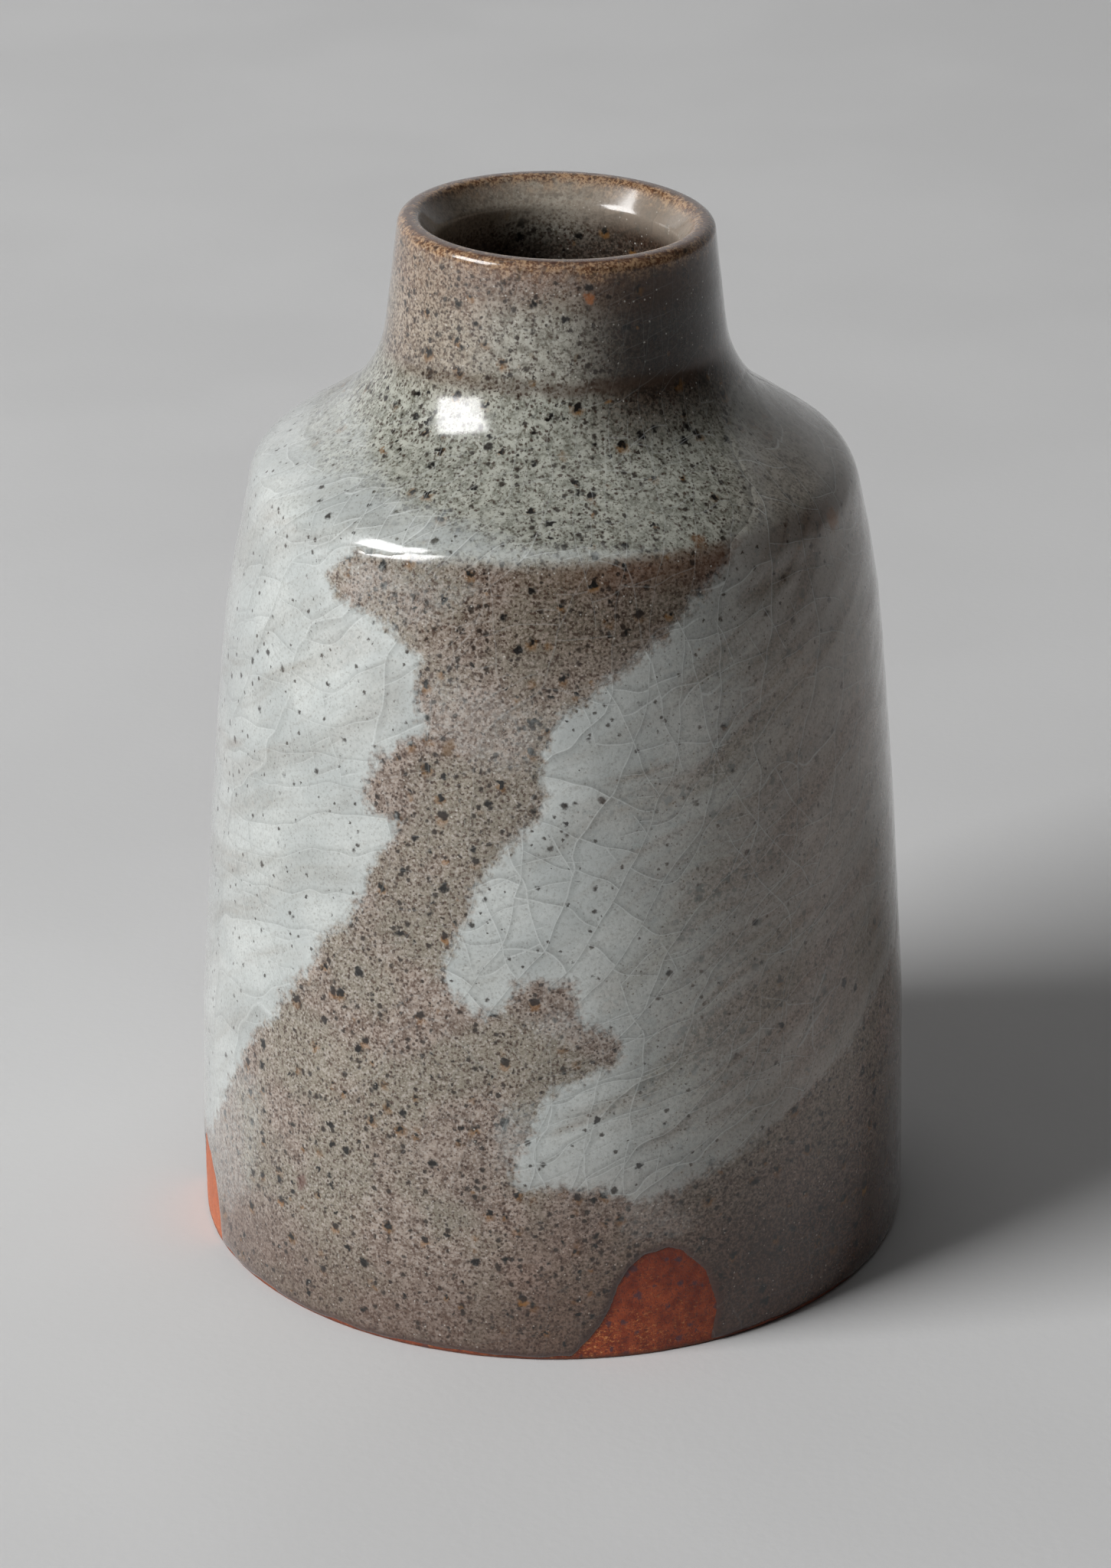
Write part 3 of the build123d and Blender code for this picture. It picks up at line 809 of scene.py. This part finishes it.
def rim_and_edges(n, color, grain):
    """Brown where the glaze ran thin: the lip, the line round the neck's foot, and beside bare clay."""
    past_crest = n.math("SUBTRACT", n.field("reach"), LIP_LENGTH)
    lip = n.plus(n.math("ABSOLUTE", n.plus(past_crest, -0.2)), n.wander(1.3, 0.8, 3.0))
    tan_brown = n.mix(n.step(grain, 0.36, 0.62), srgb(112, 76, 53), srgb(190, 154, 118))
    tan_brown = n.dots(tan_brown, srgb(66, 42, 32), 0.8, 0.6, 0.5, 0.8, 71.0)
    color = n.mix(n.step(lip, 3.0, 0.6, 0.0, 0.9), color, tan_brown)
    inner = n.times(n.step(past_crest, 1.0, 2.2), n.step(past_crest, 6.5, 4.0), 0.4)
    color = n.mix(inner, color, srgb(206, 194, 178))
    crest = n.plus(n.math("ABSOLUTE", past_crest), n.wander(0.8, 0.5, 3.0))
    color = n.mix(n.step(crest, 0.75, 0.1, 0.0, 0.85), color, srgb(84, 52, 40))
    ring = n.plus(n.math("ABSOLUTE", n.plus(n.z, -NECK_RING_HEIGHT)), n.wander(2.0, 0.5))
    ring = n.times(n.step(ring, 1.2, 0.1), n.step(n.x, -16, 12, 0.25, 0.75))
    color = n.mix(ring, color, srgb(76, 58, 47))
    return n.mix(n.step(n.field("bare"), 1.1, 0.15, 0.0, 0.85), color, srgb(72, 45, 36))


def crackled(n, color, cover):
    """A colour with the crackle on it, and how far each plate of glaze stands up."""
    edge, shade, plate = crackle(n, 38, 0.088, 4.6, 3.0)
    fine_edge, fine_shade, fine_plate = crackle(n, 52, -0.05, 3.4, 21.0)
    some = n.step(n.noise(11.0, 1.0), 0.5, 0.56)
    edge = n.math("MAXIMUM", edge, n.times(fine_edge, some))
    shade = n.math("MAXIMUM", shade, n.times(fine_shade, some, 0.7))
    color = n.mix(n.step(plate, 0, 1, 0.0, 0.13, False), color, srgb(60, 62, 58))
    faint_low = n.step(n.plus(n.z, n.times(cover, 20)), 12, 30, 0.35, 1.0)
    faint = n.times(n.step(n.x, -26, -4, 0.6, 1.0), faint_low)
    shade = n.times(shade, faint)
    outside_only = n.step(n.field("reach"), LIP_LENGTH + 4, LIP_LENGTH)
    by_height = n.times(n.step(n.z, 93, 88, 0.3, 1.0), n.step(n.z, 78, 82, 1.0, 1.8))
    lines = n.times(edge, faint, by_height, outside_only)
    color = n.mix(n.times(shade, n.step(cover, 0, 1, 0.10, 0.26)), color, srgb(70, 72, 68))
    color = n.mix(n.times(lines, n.step(cover, 0, 1, 0.10, 0.34)), color, srgb(226, 230, 228))
    plates = n.times(n.plus(plate, n.times(fine_plate, some, 0.5)), n.step(n.x, -24, 4, 0.3, 1.0))
    return color, plates


def glaze_material(name):
    """Clear crackle glaze over speckled clay, and over white slip where the slip field says so."""
    n = Nodes(name)
    fine = n.noise(0.30, 2.0, roughness=0.6)
    crystals = n.add("ShaderNodeTexVoronoi", Scale=1 / 0.2, Vector=n.place).outputs["Color"]
    crystals = n.add("ShaderNodeSeparateColor", Color=crystals).outputs["Red"]
    grain = n.plus(fine, n.step(crystals, 0, 1, -0.14, 0.14, False))
    cover, thin = slip_cover(n)
    color = n.mix(cover, glazed_clay(n, grain), slip_paint(n, thin, grain))
    color = rim_and_edges(n, color, grain)
    # Painted shade: the right side and the low front right are tinted darker and warmer, as if lit only by
    # warm bounce light
    painted_shade_side = n.math("MAXIMUM", n.step(n.x, 12, 25), n.times(n.step(n.x, -12, 2), n.step(n.z, 24, 10)))
    color = n.mix(painted_shade_side, color, PAINTED_SHADE_TINT, "MULTIPLY")
    color, plates = crackled(n, color, cover)
    color = iron_marks(n, color)

    relief = n.bump(plates, 0.0045)
    relief = n.bump(n.noise(1.2, 3.0), 0.024, relief)
    relief = n.bump(fine, 0.018, relief)
    gloss = n.step(n.noise(2.0, 3.0), 0.3, 0.7, 0.22, 0.34)
    return n.finish(color, gloss, relief, Specular_IOR_Level=0.12, Coat_Weight=1.0, Coat_Roughness=0.13)


def clay_material():
    """Bare iron-rich stoneware with grog: rusty orange, painted glints of light on grains low on the left,
    and small dark grains.
    """
    n = Nodes("bare_stoneware")
    mottle = n.noise(1.2, 4.0)
    grit = n.noise(0.22, 2.0, roughness=0.7)
    # Painted highlights: golden glints of light on the grog, mostly low down and on the left, the side
    # towards the key light
    painted_glint_zone = n.times(n.step(n.noise(2.6, 2.0), 0.38, 0.62, 0.15, 1.0), n.step(n.z, 9, 2, 0.25, 1.0),
                    n.step(n.x, 13, 3, 0.35, 1.0))
    painted_glints = n.noise(0.42, 4.0, n.vector("MULTIPLY", n.place, (1.0, 1.0, 1.7)), 0.75)
    color = n.mix(n.step(mottle, 0.3, 0.7), srgb(128, 50, 29), srgb(172, 80, 45))
    color = n.mix(n.step(n.z, 5, 11, 0, 0.5), color, srgb(118, 44, 26))
    color = n.mix(n.step(grit, 0.5, 0.34, 0, 0.8), color, srgb(92, 36, 25))
    color = n.mix(n.times(n.step(painted_glints, 0.50, 0.60), painted_glint_zone, 0.8), color, srgb(206, 118, 62))
    color = n.mix(n.times(n.step(painted_glints, 0.58, 0.68), painted_glint_zone, 0.9), color, srgb(240, 178, 118))
    color = n.dots(color, srgb(72, 56, 68), 0.75, 1.5, 0.75, 0.85, 15.0)
    color = n.mix(n.step(n.x, -22, -35, 0, 0.55), color, srgb(206, 122, 84))
    # Painted shade: the lowest edge of the bare clay darkened as contact shadow on the floor
    color = n.mix(n.step(n.z, 0.7, 0.2, 0, 0.7), color, srgb(92, 52, 34))
    relief = n.bump(grit, 0.05)
    relief = n.bump(mottle, 0.06, relief)
    return n.finish(color, n.step(grit, 0.3, 0.7, 0.45, 0.75), relief)


# ---------------------------------------------------------------- stage, lights, camera
LIGHTS_AIM = Vector((0, 0, 0.06))


def add_light(name, azimuth, elevation, distance, size, power):
    """A soft area light seen from the vase at an azimuth and elevation, facing it."""
    lamp = bpy.data.lights.new(name, "AREA")
    lamp.shape = "RECTANGLE"
    lamp.size, lamp.size_y = size
    lamp.energy = power
    light = bpy.data.objects.new(name, lamp)
    turn, rise = radians(azimuth), radians(elevation)
    way = Vector((sin(turn) * cos(rise), -cos(turn) * cos(rise), sin(rise)))
    light.location = LIGHTS_AIM + way * distance
    light.rotation_euler = way.to_track_quat("Z", "Y").to_euler()
    bpy.context.scene.collection.objects.link(light)


def add_stage():
    """A pale floor that sweeps up into a backdrop well behind the vase."""
    side, front, back, bend, top, steps = 3.0, -3.0, 0.9, 0.4, 1.6, 16
    profile = [(front, 0.0)]
    for step in range(steps + 1):
        turn = pi / 2 * step / steps
        profile.append((back + bend * sin(turn), bend * (1 - cos(turn))))
    profile.append((back + bend, top))
    corners = [(x, y, z) for y, z in profile for x in (-side, side)]
    faces = [(2 * i, 2 * i + 1, 2 * i + 3, 2 * i + 2) for i in range(len(profile) - 1)]
    mesh = bpy.data.meshes.new("floor")
    mesh.from_pydata(corners, [], faces)
    mesh.shade_smooth()
    floor = bpy.data.objects.new("floor", mesh)
    bpy.context.scene.collection.objects.link(floor)
    n = Nodes("pale_floor")
    color = n.mix(n.step(n.noise(60.0, 2.0), 0.35, 0.65), srgb(222, 222, 222), srgb(226, 226, 226))
    mesh.materials.append(n.finish(color, 0.9, n.bump(n.noise(1.0, 2.0), 0.02)))


def add_camera():
    camera = bpy.data.cameras.new("camera")
    camera.sensor_width = 36.0
    camera.lens = 109.05
    camera.clip_start = 0.01
    holder = bpy.data.objects.new("camera", camera)
    holder.location = (0.00028, -0.4338, 0.2387)
    holder.rotation_euler = (radians(90 - 24.03), 0, 0)
    bpy.context.scene.collection.objects.link(holder)
    bpy.context.scene.camera = holder


def add_world():
    world = bpy.data.worlds.new("studio")
    world.use_nodes = True
    world.node_tree.nodes["Background"].inputs["Color"].default_value = (1.0, 0.98, 0.95, 1)
    world.node_tree.nodes["Background"].inputs["Strength"].default_value = 0.02
    bpy.context.scene.world = world


def place_piece(piece, node, material):
    piece.data.materials.append(material)
    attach(piece, "root")
    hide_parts(node)


add_camera()
add_world()
add_stage()
add_light("key_softbox", -65, 31, 2.2, (1.1, 1.0), 52.0)
add_light("ceiling", 0, 89, 1.6, (1.5, 1.5), 1.3)
bpy.context.scene.view_settings.view_transform = "Standard"

speckled = glaze_material("speckled_crackle_glaze")
place_piece(make_outer_glaze(), "outer_glaze", speckled)
left_slip = make_slip("left_slip_brushed", "left", -173, -4)
place_piece(left_slip, "left_slip_sweep", speckled)
right_slip = make_slip("right_slip_brushed", "right", -24, 141)
place_piece(right_slip, "right_slip_sweep", speckled)
place_piece(make_inner_glaze(), "inner_glaze", speckled)
place_piece(make_clay(), "clay_body", clay_material())
